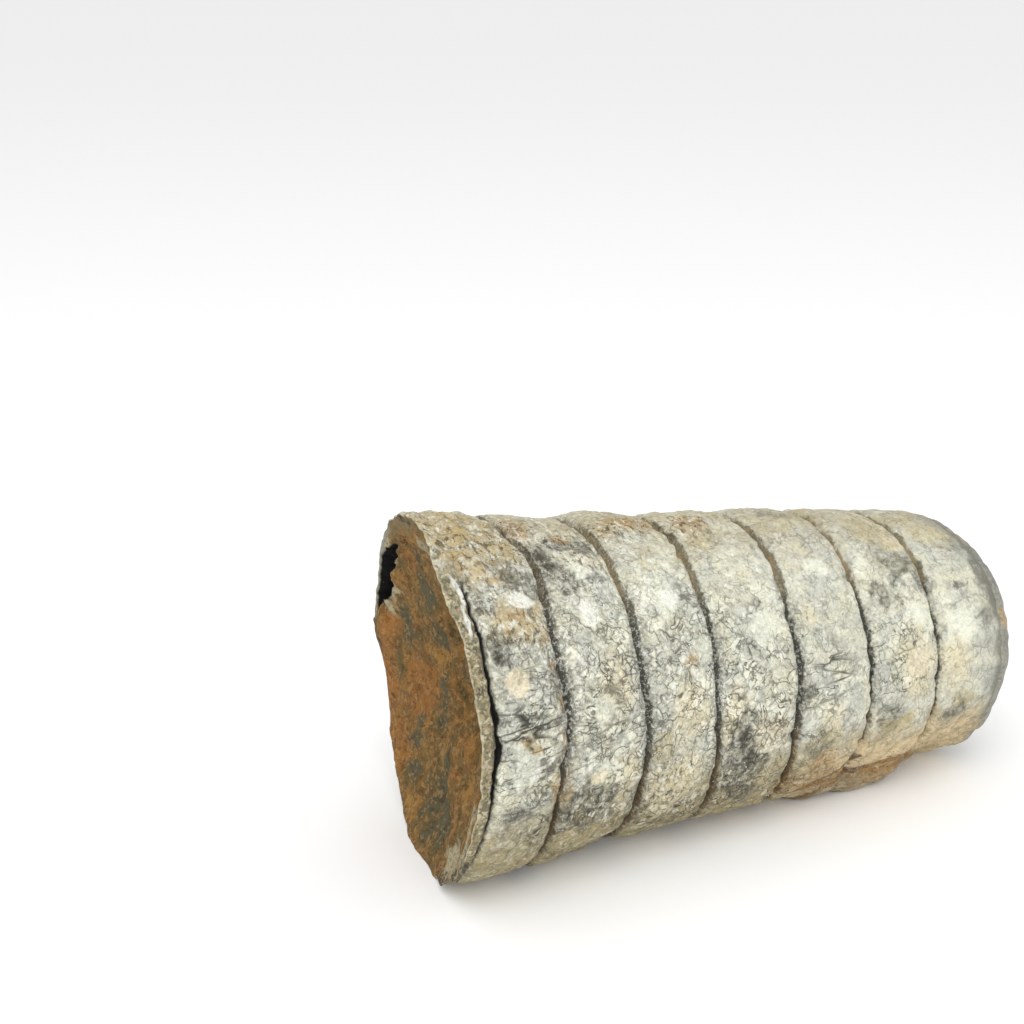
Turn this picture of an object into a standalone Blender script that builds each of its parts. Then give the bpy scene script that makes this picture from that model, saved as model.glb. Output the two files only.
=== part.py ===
"""A loose piece of a straight-shelled nautiloid fossil, lying on its side.

The stone is the mineral filling of a row of shell chambers, grown into one solid:
a slow taper crossed by grooves where the chamber walls met the shell. The wide end
is a slanting break with a hollow dish in it, and the narrow end is a dome.

X runs along the stone from the wide end to the narrow end and Z is up. The origin
is under the middle of the stone, on the surface that it lies on. Angles round the
stone start at its -Y side and rise towards the top. Lengths are in metres.
"""

import math

import bmesh
import bpy

# Driving dimensions. "Along" is a distance down the stone from its wide end.
WIDE_RADIUS = 0.0250
TAPER = 0.063                 # radius lost for each metre along
FLARE_HEIGHT = 0.0008         # the mouth spreads a little
FLARE_LENGTH = 0.0300
WAIST_DEPTH = 0.0005          # the stone draws in a little about its middle
WAIST_ALONG = 0.0400
WAIST_HALF_LENGTH = 0.0360
HEIGHT_TO_WIDTH = 1.024       # the section is a little taller than it is wide
RING_LEAN = math.radians(2.5) # the rings tip back over the stone at the top
SUNK = 0.0005                 # how far the underside is worn flat
MIDDLE_ALONG = 0.0526         # the place along that stands over the origin

GROOVES_ALONG = (0.0164, 0.0299, 0.0426, 0.0569, 0.0701, 0.0832)
GROOVES_TURNED = 0.0020       # how far a groove is ahead on one side, behind on the other
TURN_ANGLE = math.radians(25) # the side where they are behind
TOP_PULLS = (0.0016, 0.0009, 0.0011, 0.0009, 0.0008, 0.0008)  # back again over the top
TOP_PULL_ANGLE = math.radians(115)
TOP_PULL_HALF_ANGLE = math.radians(48)
NARROW_END_ALONG = 0.0942     # where the edge of the narrow end starts to round over
CRACK_ALONG = 0.0031          # a thin open crack behind the lip of the break
CRACK_PULL = 0.0009           # the crack is this much nearer the lip on the -Y side
CRACK_PULL_HALF_ANGLE = math.radians(75)
LIP_WORN = 0.0010             # the lip is worn back where it nears the ground
LIP_WORN_ANGLE = math.radians(-95)
LIP_WORN_HALF_ANGLE = math.radians(36)

RING_SWELL = 0.0006           # how far a chamber stands proud between its grooves
GROOVE_DEPTH = 0.0009
CRACK_DEPTH = 0.0010
END_ROUNDING = 0.0026         # how far the rounded edge reaches past that

TONGUE_ANGLE = math.radians(160)      # a scrap of shell wall left on the far lip
TONGUE_HALF_ANGLE = math.radians(36)
TONGUE_LENGTH = 0.0019

DISH_ALONG = 0.0118           # the deepest place of the dish
DOME_HEIGHT = 0.0065
SIPHUNCLE_RADIUS = 0.0026     # the tube that once joined the chambers
SIPHUNCLE_HEIGHT = 0.0007

POCKET_ANGLE = math.radians(147)      # a deep gap behind the scrap of shell wall
POCKET_HALF_ANGLE = math.radians(20)
POCKET_DEPTH = 0.0060

CRUST_ALONG = 0.0785          # a ledge of the rock that once held the stone
CRUST_HALF_LENGTH = 0.0150
CRUST_ANGLE = math.radians(-68)
CRUST_HALF_ANGLE = math.radians(24)
CRUST_HEIGHT = 0.0022

WORN_ALONG = 0.0890           # the last ring is worn down low on the -Y side
WORN_HALF_LENGTH = 0.0085
WORN_ANGLE = math.radians(-52)
WORN_HALF_ANGLE = math.radians(44)
WORN_DEPTH = 0.0019

# How finely the solid is faceted.
SEGMENTS = 60
DISH_STEPS = (0.0, 0.18, 0.38, 0.56, 0.70, 0.79, 0.86, 0.925, 0.965)
RING_STEPS = (0.0, 0.07, 0.25, 0.50, 0.75, 0.93)
DOME_STEPS = (1.0, 0.985, 0.95, 0.88, 0.72, 0.52, 0.34, 0.22, 0.12, 0.0)

STONE_COLOUR = (0.52, 0.50, 0.43, 1.0)


def blend(low, high, share):
    return low + (high - low) * share


def hill(distance, half_width):
    """1 at distance 0, falling smoothly to 0 at half_width and beyond."""
    share = min(1.0, abs(distance) / half_width)
    return (1.0 - share * share) ** 2


def angle_between(angle, centre):
    return (angle - centre + math.pi) % (2 * math.pi) - math.pi


def break_along(angle):
    """The lip of the wide end, which is broken back on the far side."""
    plain = 0.0051 - 0.0047 * math.cos(angle) - 0.0013 * math.sin(angle)
    second = 0.0010 * math.cos(2 * angle)
    chips = 0.0004 * math.sin(5 * angle + 0.6) + 0.00025 * math.sin(9 * angle + 2.0)
    tongue = TONGUE_LENGTH * hill(angle_between(angle, TONGUE_ANGLE), TONGUE_HALF_ANGLE)
    worn = LIP_WORN * hill(angle_between(angle, LIP_WORN_ANGLE), LIP_WORN_HALF_ANGLE)
    return plain + second + chips + worn - tongue


def groove_along(number, angle):
    """Where a groove runs. The first one waves more than the others."""
    place = GROOVES_ALONG[number] - GROOVES_TURNED * math.cos(angle - TURN_ANGLE)
    over_top = hill(angle_between(angle, TOP_PULL_ANGLE), TOP_PULL_HALF_ANGLE)
    place -= TOP_PULLS[number] * over_top
    if number == 0:
        wave = 0.0004 * math.cos(7 * (angle - math.radians(61)))
        return place + 0.0008 * math.sin(angle) + wave
    return place + 0.00022 * math.sin(3 * angle + 1.7 * number) + 0.00012 * math.sin(
        7 * angle + 2.3 * number
    )


def crack_along(angle):
    """The crack follows the lip, and keeps clear of it where the stone is short."""
    lip = break_along(angle)
    crack = max(CRACK_ALONG, blend(lip, groove_along(0, angle), 0.22))
    return crack - CRACK_PULL * hill(angle_between(angle, 0.0), CRACK_PULL_HALF_ANGLE)


def crack_strength(angle):
    """The crack is open on the -Y side only."""
    return hill(angle_between(angle, math.radians(8)), math.radians(62))


def boundaries(angle):
    """The lip, the crack, the grooves and the narrow end, in order along."""
    grooves = [groove_along(number, angle) for number in range(len(GROOVES_ALONG))]
    end = NARROW_END_ALONG + 0.0008 * math.cos(angle + math.radians(60))
    return [break_along(angle), crack_along(angle), *grooves, end]


def plain_radius(along):
    return WIDE_RADIUS - TAPER * along


def unevenness(along, angle):
    """Slow swells and hollows, so that the stone is nowhere truly round."""
    return (
        0.00030 * math.sin(2 * angle + 60 * along + 0.7)
        + 0.00022 * math.sin(3 * angle - 95 * along + 2.1)
        + 0.00014 * math.sin(5 * angle + 150 * along + 4.0)
    )


def crust(along, angle):
    ledge = hill(along - CRUST_ALONG, CRUST_HALF_LENGTH)
    return CRUST_HEIGHT * ledge * hill(
        angle_between(angle, CRUST_ANGLE), CRUST_HALF_ANGLE
    )


def flare(along):
    """The stone spreads at its mouth and draws in about its middle."""
    waist = WAIST_DEPTH * hill(along - WAIST_ALONG, WAIST_HALF_LENGTH)
    return FLARE_HEIGHT * hill(max(0.0, along), FLARE_LENGTH) - waist


def wear(along, angle):
    """What is worn off the side of the last ring."""
    worn = WORN_DEPTH * hill(along - WORN_ALONG, WORN_HALF_LENGTH)
    return worn * hill(angle_between(angle, WORN_ANGLE), WORN_HALF_ANGLE)


def placed(along, radius, angle):
    """The point at that place along, distance from the axis and angle."""
    up = radius * HEIGHT_TO_WIDTH * math.sin(angle)
    axis_height = plain_radius(along) * HEIGHT_TO_WIDTH - SUNK
    return (
        along - MIDDLE_ALONG + up * math.tan(RING_LEAN),
        -radius * math.cos(angle),
        max(0.0, axis_height + up),
    )


def side_radius(ring, share, along, angle):
    """The outer surface inside one ring, at that share of its width."""
    swell = RING_SWELL * (1.0 - abs(2 * share - 1) ** 3)
    if ring == 0:
        swell *= 0.4
    cut = GROOVE_DEPTH if ring > 1 else CRACK_DEPTH * crack_strength(angle)
    groove = cut * hill(share, 0.07)
    radius = plain_radius(along) + flare(along) + unevenness(along, angle)
    radius += crust(along, angle) - wear(along, angle)
    return radius + swell - (groove if ring else 0.0)


def side_point(ring, share, angle):
    edges = boundaries(angle)
    along = blend(edges[ring], edges[ring + 1], share)
    return placed(along, side_radius(ring, share, along, angle), angle)


def dish_point(reach, angle):
    """The hollow of the wide end. reach is 0 at its middle and 1 at the lip."""
    lip = break_along(angle)
    along = blend(DISH_ALONG, lip, reach**2)
    swells = 0.0005 * math.sin(3 * angle + 9 * reach) * reach * (1 - reach) * 4
    pocket = hill(angle_between(angle, POCKET_ANGLE), POCKET_HALF_ANGLE)
    along += swells + POCKET_DEPTH * pocket * hill(reach - 0.86, 0.10)
    return placed(along, reach * side_radius(0, 0.0, lip, angle), angle)


def dome_point(reach, angle):
    """The bulge of the narrow end. reach is 1 at its edge and 0 at its middle."""
    end = boundaries(angle)[-1]
    rounding = END_ROUNDING * math.sqrt(max(0.0, 1.0 - reach**8))
    along = end + rounding + DOME_HEIGHT * (1.0 - reach**2)
    along += SIPHUNCLE_HEIGHT * hill(reach * plain_radius(end), SIPHUNCLE_RADIUS * 1.6)
    return placed(along, reach * side_radius(7, 1.0, end, angle), angle)


def stations():
    """One function of the angle for each loop of points, wide end to narrow end."""
    loops = [lambda angle, r=reach: dish_point(r, angle) for reach in DISH_STEPS]
    rings = len(GROOVES_ALONG) + 2
    for ring in range(rings):
        steps = (0.0, 0.45) if ring == 0 else RING_STEPS
        loops += [
            lambda angle, k=ring, t=share: side_point(k, t, angle) for share in steps
        ]
    loops += [lambda angle, r=reach: dome_point(r, angle) for reach in DOME_STEPS]
    return loops


def make_stone(collection):
    """A UV sphere has two poles and a row of loops: each loop moves to a station."""
    loops = stations()
    mesh = bpy.data.meshes.new("stone")
    shape = bmesh.new()
    bmesh.ops.create_uvsphere(
        shape, u_segments=SEGMENTS, v_segments=len(loops) - 1, radius=1.0
    )
    for corner in shape.verts:
        x, y, z = corner.co
        row = round(math.acos(max(-1.0, min(1.0, z))) / math.pi * (len(loops) - 1))
        corner.co = loops[row](math.atan2(y, x))
    bmesh.ops.recalc_face_normals(shape, faces=shape.faces)
    bmesh.ops.triangulate(shape, faces=shape.faces)
    shape.to_mesh(mesh)
    shape.free()
    stone = bpy.data.objects.new("fossil_stone", mesh)
    collection.objects.link(stone)
    mesh.shade_smooth()
    mesh.set_sharp_from_angle(angle=math.radians(50))
    return stone


def make_stone_material():
    material = bpy.data.materials.new("weathered calcite")
    material.use_nodes = True
    surface = material.node_tree.nodes["Principled BSDF"]
    surface.inputs["Base Color"].default_value = STONE_COLOUR
    surface.inputs["Roughness"].default_value = 0.75
    surface.inputs["Metallic"].default_value = 0.0
    return material


def main():
    for old in list(bpy.data.objects):
        bpy.data.objects.remove(old)
    collection = bpy.data.collections.new("nautiloid fossil")
    bpy.context.scene.collection.children.link(collection)
    stone = make_stone(collection)
    stone.data.materials.append(make_stone_material())


main()
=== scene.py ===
# %% [markdown]
# # A nautiloid fossil, from bare stone to finished surface
# This stone is the mineral filling of a row of shell chambers. It is a slow cone with
# rings, a rusty hollow where it broke at the wide end, and a low dome at the other end.
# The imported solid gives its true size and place. Everything below makes what the eye
# sees: one closed skin over the whole stone, the crystal grains that sit in its
# grooves, and the finishes. Lengths are in metres, X runs along the stone from the
# wide end, and Z is up.

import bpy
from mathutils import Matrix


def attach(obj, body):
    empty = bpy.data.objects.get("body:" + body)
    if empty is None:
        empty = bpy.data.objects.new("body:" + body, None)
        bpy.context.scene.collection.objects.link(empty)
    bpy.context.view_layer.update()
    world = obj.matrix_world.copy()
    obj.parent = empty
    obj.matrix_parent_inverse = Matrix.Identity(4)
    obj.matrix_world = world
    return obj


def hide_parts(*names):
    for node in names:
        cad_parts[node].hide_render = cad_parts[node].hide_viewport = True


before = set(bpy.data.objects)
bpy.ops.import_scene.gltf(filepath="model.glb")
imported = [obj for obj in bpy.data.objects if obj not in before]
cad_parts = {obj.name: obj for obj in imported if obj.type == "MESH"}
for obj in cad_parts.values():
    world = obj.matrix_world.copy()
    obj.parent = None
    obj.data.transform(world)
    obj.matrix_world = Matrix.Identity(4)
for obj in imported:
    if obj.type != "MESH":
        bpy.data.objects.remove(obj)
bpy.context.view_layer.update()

# %% Modules
from functools import partialmethod
from math import pi, radians, tan, tau

import bpy
import numpy as np
from mathutils import Vector

print("working in Blender", bpy.app.version_string)

# %% [markdown]
# ## The camera
# A camera is a place, a direction and a lens. A long lens from nearly three of the
# stone's lengths away keeps the rings almost parallel. From here the eye sees into the
# hollow as well as along the side.

# %% Camera
CAMERA_PLACE = Vector((-0.14431, -0.21295, 0.12356))
VIEW_DIRECTION = Vector((0.44285, 0.84750, -0.29264))
SENSOR_WIDTH = 36.0
LENS = 63.28


def in_scene(name, data):
    """A new object with that data, linked to the scene."""
    thing = bpy.data.objects.new(name, data)
    bpy.context.scene.collection.objects.link(thing)
    return thing


camera = in_scene("camera", bpy.data.cameras.new("camera"))
camera.data.sensor_width = SENSOR_WIDTH
camera.data.lens = LENS
camera.location = CAMERA_PLACE
camera.rotation_euler = VIEW_DIRECTION.to_track_quat("-Z", "Y").to_euler()
bpy.context.scene.camera = camera
print("the camera is", round(CAMERA_PLACE.length * 1000), "mm from the stone's foot")

# %% [markdown]
# ## Floor and light
# The stone lies on a plain pale sheet under a bright, even sky, so that nearly every
# part of the skin is lit alike and its colours read true. One broad lamp, high on the
# near side, is enough to show which way the surface leans. A small lamp would throw
# hard shadows into every crack and make the stone look like a model of a landscape.

# %% Floor
FLOOR_HALF_SIZE = 20.0
FLOOR_DROP = 0.0001           # the floor is this far under the stone's flat foot
FLOOR_GLOW = 0.06             # keeps the far floor as pale as the near floor
WHITE = (1.0, 1.0, 1.0, 1.0)
PALE = (0.93, 0.93, 0.93, 1.0)


def set_inputs(node, values):
    for name, value in values.items():
        node.inputs[name].default_value = value


floor_mesh = bpy.data.meshes.new("floor")
square = ((-1, -1), (1, -1), (1, 1), (-1, 1))
corners = [(FLOOR_HALF_SIZE * x, FLOOR_HALF_SIZE * y, -FLOOR_DROP) for x, y in square]
floor_mesh.from_pydata(corners, [], [(0, 1, 2, 3)])
floor = in_scene("floor", floor_mesh)
floor_finish = bpy.data.materials.new("pale sheet")
floor_finish.use_nodes = True
set_inputs(floor_finish.node_tree.nodes["Principled BSDF"], {
    "Base Color": PALE, "Roughness": 0.9,
    "Emission Color": WHITE, "Emission Strength": FLOOR_GLOW,
})
floor_mesh.materials.append(floor_finish)
print("the floor is", 2 * FLOOR_HALF_SIZE, "m wide")

# %% Light
SKY_STRENGTH = 0.85
LAMP_PLACE = Vector((-0.35, -0.55, 0.75))
LAMP_SIZE = 0.7
LAMP_POWER = 5.0

world = bpy.data.worlds.new("bright even sky")
world.use_nodes = True
set_inputs(world.node_tree.nodes["Background"], {"Color": WHITE, "Strength": SKY_STRENGTH})
bpy.context.scene.world = world
lamp = in_scene("broad lamp", bpy.data.lights.new("broad lamp", "AREA"))
lamp.data.size = LAMP_SIZE
lamp.data.energy = LAMP_POWER
lamp.location = LAMP_PLACE
lamp.rotation_euler = (-LAMP_PLACE).to_track_quat("-Z", "Y").to_euler()
bpy.context.scene.view_settings.view_transform = "Standard"
print("lit by the sky and one lamp of", LAMP_POWER, "watts")

# %% [markdown]
# ## Writing formulas as nodes
# The stone's shape follows a rule, so Geometry Nodes can make it: a point's row says
# how far along the stone it is, its column says how far round. Such a rule needs a
# hundred Math nodes, and wiring them one by one hides the idea. The small class below
# stands for a number in a node tree. Adding or multiplying two of them adds the Math
# node, so a formula reads as it would on paper. The finishes use it as well.

# %% A number in a node tree
class Field:
    """A number that a node tree works out at each point."""

    def __init__(self, tree, socket):
        self.tree = tree
        self.socket = socket

    def calc(self, operation, *others):
        node = self.tree.nodes.new("ShaderNodeMath")
        node.operation = operation
        for socket, value in zip(node.inputs, (self, *others)):
            plug(self.tree, value, socket)
        return Field(self.tree, node.outputs[0])

    def __rsub__(self, other):
        return (self * -1.0) + other

    def __rtruediv__(self, other):
        return (self ** -1.0) * other

    def between(self, low, high):
        return self.at_least(low).at_most(high)


OPERATIONS = {
    "__add__": "ADD", "__radd__": "ADD", "__sub__": "SUBTRACT", "__mul__": "MULTIPLY",
    "__rmul__": "MULTIPLY", "__truediv__": "DIVIDE", "__pow__": "POWER", "__abs__": "ABSOLUTE",
    "__gt__": "GREATER_THAN", "__lt__": "LESS_THAN", "at_least": "MAXIMUM", "at_most": "MINIMUM",
}
for method, operation in OPERATIONS.items():
    setattr(Field, method, partialmethod(Field.calc, operation))


def plug(tree, value, socket):
    """Gives a socket a Field, another node's output or a plain value."""
    if isinstance(value, Field):
        value = value.socket
    if isinstance(value, bpy.types.NodeSocket):
        tree.links.new(value, socket)
    else:
        socket.default_value = value


def add_node(tree, kind, settings=None, **values):
    """A node with its settings, and its inputs by name with _ for a space."""
    node = tree.nodes.new(kind)
    for name, value in (settings or {}).items():
        setattr(node, name, value)
    for name, value in values.items():
        plug(tree, value, node.inputs[name.replace("_", " ")])
    return node


print("a Field knows", len(OPERATIONS), "operations")

# %% Curves for formulas
def sine(field):
    return field.calc("SINE")


def cosine(field):
    return field.calc("COSINE")


def fade(field, low, high):
    """0 at low and 1 at high, with a soft start and a soft end."""
    node = add_node(
        field.tree, "ShaderNodeMapRange", {"interpolation_type": "SMOOTHSTEP"},
        Value=field, From_Min=low, From_Max=high,
    )
    return Field(field.tree, node.outputs["Result"])


def hill(distance, half_width):
    """1 at distance 0, falling smoothly to 0 at half_width and beyond."""
    share = (abs(distance) / half_width).at_most(1.0)
    return (1.0 - share * share) ** 2.0


def turned_from(turn, degrees):
    """How far an angle is from one given in degrees, the short way round."""
    return (turn - radians(degrees)).calc("WRAP", pi, -pi)


def bend(turn, degrees, half_degrees, amount=1.0):
    """That amount at one angle round the stone, falling to 0 on both sides of it."""
    return hill(turned_from(turn, degrees), radians(half_degrees)) * amount


# %% Points and noise for formulas
def vector(tree, x, y, z):
    return add_node(tree, "ShaderNodeCombineXYZ", X=x, Y=y, Z=z).outputs["Vector"]


def vector_math(tree, operation, first, second):
    node = add_node(tree, "ShaderNodeVectorMath", {"operation": operation})
    plug(tree, first, node.inputs[0])
    plug(tree, second, node.inputs["Scale" if operation == "SCALE" else 1])
    return node.outputs[0]


def scaled(tree, point, x, y=1.0, z=1.0):
    """A point with each of its coordinates multiplied, to stretch a pattern."""
    return vector_math(tree, "MULTIPLY", point, (x, y, z))


def noise_node(tree, point, scale, detail=2.0, roughness=0.5, distortion=0.0):
    return add_node(
        tree, "ShaderNodeTexNoise", Vector=point, Scale=scale, Detail=detail,
        Roughness=roughness, Distortion=distortion,
    )


def noise(tree, point, size, *settings):
    """Cloudy noise round 0.5. size is the width of its blobs in metres."""
    return Field(tree, noise_node(tree, point, 1.0 / size, *settings).outputs[0])


def cells(tree, point, scale, feature="F1"):
    """A Voronoi texture, which fills space with cells."""
    return add_node(
        tree, "ShaderNodeTexVoronoi", {"feature": feature}, Vector=point, Scale=scale
    )


def named(tree, name):
    """A number that was stored on the points of the mesh."""
    if tree.bl_idname == "ShaderNodeTree":
        node = add_node(tree, "ShaderNodeAttribute", {"attribute_name": name})
        return Field(tree, node.outputs["Fac"])
    node = add_node(tree, "GeometryNodeInputNamedAttribute", {"data_type": "FLOAT"}, Name=name)
    return Field(tree, node.outputs["Attribute"])


# %% [markdown]
# ## The rule of the shape
# A place "along" is counted from the nearest point of the broken lip. Nine lines run
# round the stone: the lip, a crack just behind it, six grooves, and the line where the
# narrow end starts to round over. Each line wavers with the angle round the stone,
# which starts at the side that faces -Y and rises towards the top. Between two lines
# lies one ring. The solid was made to these dimensions as well, apart from later
# changes of less than a millimetre, such as the crest on the third ring.

# %% Dimensions of the cone
MIDDLE_ALONG = 0.0526
WIDE_RADIUS = 0.0250
TAPER = 0.063
HEIGHT_TO_WIDTH = 1.024
RING_LEAN = radians(2.5)
SUNK = 0.0005                 # the axis lies this much lower, so that the foot is cut flat
FLARE_HEIGHT = 0.0008
FLARE_LENGTH = 0.0300
WAIST_DEPTH = 0.0005
WAIST_ALONG = 0.0400
WAIST_HALF_LENGTH = 0.0360
# Each swell has its waves round the stone, its twist along it, its start and its height.
SWELLS = ((2.0, 60.0, 0.7, 0.00030), (3.0, -95.0, 2.1, 0.00022), (5.0, 150.0, 4.0, 0.00014))


def plain_radius(along):
    return WIDE_RADIUS - along * TAPER


def flare(along):
    waist = hill(along - WAIST_ALONG, WAIST_HALF_LENGTH) * WAIST_DEPTH
    return hill(along.at_least(0.0), FLARE_LENGTH) * FLARE_HEIGHT - waist


def unevenness(along, turn):
    """Slow swells and hollows, so that the stone is nowhere truly round."""
    return sum(
        sine(turn * waves + along * twist + start) * height
        for waves, twist, start, height in SWELLS
    )


def placed(tree, along, radius, turn, lowest=0.0):
    """The point at that place along, distance from the axis and angle."""
    up = radius * sine(turn) * HEIGHT_TO_WIDTH
    axis_height = plain_radius(along) * HEIGHT_TO_WIDTH - SUNK
    x = along - MIDDLE_ALONG + up * tan(RING_LEAN)
    return vector(tree, x, radius * cosine(turn) * -1.0, (axis_height + up).at_least(lowest))


print("the cone loses", TAPER, "of its length in radius")

# %% The lines round the stone
GROOVES_ALONG = (0.0164, 0.0299, 0.0426, 0.0569, 0.0701, 0.0832)
GROOVES_TURNED = 0.0020
TURN_ANGLE = radians(25)
NARROW_END_ALONG = 0.0942
CRACK_ALONG = 0.0031
LINE_WANDER = 0.0006          # how far the grooves stray from their plain curve
LIP_WANDER = 0.0012
LIP_MIDDLE = 0.0051
LIP_TURNED = 0.0047           # the lip stands out furthest on the near side,
LIP_RAISED = 0.0013           # and a little further at the top,
LIP_OVAL = 0.0010             # and its line is bent twice round
# A wave of a line is its count round the stone, its start and its height.
LIP_WAVES = ((5.0, 0.6, 0.0004), (9.0, 2.0, 0.00025))
GROOVE_WAVES = ((3.0, 1.7, 0.00022), (7.0, 2.3, 0.00012))
# A bend of a line is an angle and half its spread in degrees, and how far it pulls.
TONGUE = (160, 36, 0.0019)
LIP_WORN = (-95, 36, 0.0010)          # the lip is worn back where it nears the floor
CRACK_FOOT = (-80, 60, 0.0052)        # low on the near side the crack runs into the lip
TOP_PULL = (115, 48)                  # the tops of the grooves lie nearer the wide end
TOP_PULLS = (0.0016, 0.0009, 0.0011, 0.0009, 0.0008, 0.0008)
CRACK_PULL = 0.0009
CRACK_PULL_HALF_ANGLE = radians(75)


def stray(tree, turn, number, size, amount):
    """A wavering that closes on itself round the stone, different for each line."""
    ring = vector(tree, sine(turn) * WIDE_RADIUS, cosine(turn) * WIDE_RADIUS, number * 0.37)
    return (noise(tree, ring, size, 3.0, 0.6) - 0.5) * amount


def lip_line(tree, turn):
    plain = LIP_MIDDLE - cosine(turn) * LIP_TURNED - sine(turn) * LIP_RAISED
    oval = cosine(turn * 2.0) * LIP_OVAL
    chips = sum(sine(turn * count + start) * height for count, start, height in LIP_WAVES)
    chips += bend(turn, *LIP_WORN)
    tongue = bend(turn, *TONGUE)
    return plain + oval + chips - tongue + stray(tree, turn, 0, 0.0045, LIP_WANDER)


def groove_line(tree, turn, number):
    place = GROOVES_ALONG[number] - cosine(turn - TURN_ANGLE) * GROOVES_TURNED
    place += stray(tree, turn, number + 2, 0.005, LINE_WANDER)
    place -= bend(turn, *TOP_PULL, TOP_PULLS[number])
    if number == 0:
        wave = cosine((turn - radians(61)) * 7.0) * 0.0004
        return place + sine(turn) * 0.0008 + wave
    for count, start, height in GROOVE_WAVES:
        place += sine(turn * count + start * number) * height
    return place


def all_lines(tree, turn):
    lip = lip_line(tree, turn)
    grooves = [groove_line(tree, turn, number) for number in range(len(GROOVES_ALONG))]
    crack = (lip + (grooves[0] - lip) * 0.22).at_least(CRACK_ALONG)
    crack -= hill(turn, CRACK_PULL_HALF_ANGLE) * CRACK_PULL
    crack += stray(tree, turn, 1, 0.003, LINE_WANDER) - bend(turn, *CRACK_FOOT)
    crack += stray(tree, turn, 9, 0.0012, LINE_WANDER)
    crack = crack.at_least(lip + 0.0004)
    end = NARROW_END_ALONG + cosine(turn + radians(60)) * 0.0008
    return [lip, crack, *grooves, end]


print("nine lines round the stone make", len(GROOVES_ALONG) + 2, "rings")

# %% [markdown]
# ## Rows and columns
# A UV sphere is two poles joined by rows of points, all closed, with no seam to weld.
# Pulling its rows out along the stone gives a closed skin: one pole is the middle of
# the hollow, the other the top of the dome. The number of a point gives its row and
# column. Rows crowd together at each groove, where the shape changes fastest.

# %% Rows
COLUMNS = 328
HOLLOW_ROWS = 64
RING_ROWS = 24
DOME_ROWS = 34
RINGS = len(GROOVES_ALONG) + 2
ROWS = HOLLOW_ROWS + RINGS * RING_ROWS + DOME_ROWS
CROWDING = 0.55               # 0 spaces the rows of a ring evenly, 1 crowds them most


def row_and_turn(tree, columns):
    index = Field(tree, tree.nodes.new("GeometryNodeInputIndex").outputs[0]) - 1.0
    row = (index / columns).calc("FLOOR") + 1.0
    column = index.calc("FLOORED_MODULO", columns)
    return row, column / columns * tau - pi


def station_of(row):
    """Counts rings: 0 at the lip, 1 at the crack, up to RINGS at the narrow end."""
    even = ((row - float(HOLLOW_ROWS)) / float(RING_ROWS)).between(0.0, float(RINGS))
    whole = even.calc("FLOOR")
    share = even - whole
    return whole + share - sine(share * tau) * (CROWDING / tau)


print(ROWS, "rows of", COLUMNS, "points make", 2 * COLUMNS * (ROWS - 1), "triangles")

# %% [markdown]
# ## Relief on the rings
# Between two grooves a ring swells a little. A groove is steep on the side of the
# wide end and gentle on the other, because each chamber sat in the hollow of the next.
# Low on the near side a ledge of the old rock still clings on. Broad lumps, small
# lumps and chipped edges come from noise, measured in real millimetres.

# %% Relief
RING_SWELL = 0.0006
GROOVE_DEPTH = 0.0009
GROOVE_STEEP_WIDTH = 0.00045
GROOVE_FLOOR_WIDTH = 0.00040
GROOVE_GENTLE_WIDTH = 0.0009
CRACK_DEPTH = 0.0016
CRACK_SPREAD = (8, 54)                # the crack is open round this angle, in degrees
CRACK_WIDTH = 0.00042
CRACK_STEEP_WIDTH = 0.00020
CRACK_GAPES = ((4, 6, 0.0007), (15, 4, 0.0007))
SHALLOW_ANGLE = -80                   # the last two grooves fade out there,
SHALLOW_FADE = (38, 66)               # between these angles from it
# A patch is its middle along, half its length, its angle and half its spread in degrees.
CREST = (0.0350, 0.0085, 104, 42)     # the third ring stands a little proud on top
CREST_HEIGHT = 0.0009
CRUST = (0.0755, 0.0150, -67, 27)     # the ledge of old rock
CRUST_HEIGHT = 0.0018
WORN = (0.0890, 0.0085, -52, 44)      # a hollow worn in the narrow end
WORN_DEPTH = 0.0019


def patch(along, turn, middle, half_length, degrees, half_degrees):
    """1 in the middle of a patch of the skin and 0 outside it."""
    length = hill(along - middle, half_length)
    return length * hill(turned_from(turn, degrees), radians(half_degrees))


def sum_over_rings(station, steps):
    """Adds up one step for each whole ring passed, and a share of the present one."""
    return sum(
        step * (station - float(ring)).between(0.0, 1.0) for ring, step in enumerate(steps)
    )


def from_nearest_line(station, steps):
    """Signed distance to the nearest line, and which line it is."""
    nearest = (station + 0.5).calc("FLOOR")
    whole = station.calc("FLOOR")
    length = sum(step * (abs(whole - float(ring)) < 0.5) for ring, step in enumerate(steps))
    return (station - nearest) * length, nearest


def groove_shape(distance, steep, floor_width, gentle):
    """1 in the groove and 0 outside it. distance is below 0 towards the wide end."""
    left = fade(distance, steep * -1.0, 0.0)
    return left * (1.0 - fade(distance, floor_width, gentle))


print("grooves are", GROOVE_DEPTH * 1000, "mm deep, the crack", CRACK_DEPTH * 1000, "mm")

# %% [markdown]
# ## The two ends
# The hollow is a shallow bowl whose middle lies deeper than its lip, with a narrow
# pocket behind the scrap of shell wall that stands on the far lip. Broken rock is
# rough at every size, so its noise has many octaves. The dome is smooth by comparison:
# it is the cast of a chamber wall, and bears the small round mark of the tube that
# once joined the chambers.

# %% Dimensions of the ends
HOLLOW_ALONG = 0.0118
SILL_STEEPNESS = 0.012        # keeps the hollow clear of the flat foot under it
POCKET_ANGLE = 148            # in degrees, as the next three are
POCKET_HALF_ANGLE = 23
POCKET_OPENS = (128, 144)
POCKET_CLOSES = (155, 168)
POCKET_DEPTH = 0.0100
DOME_HEIGHT = 0.0065
END_ROUNDING = 0.0026
TUBE_RADIUS = 0.0026
TUBE_HEIGHT = 0.0003


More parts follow.
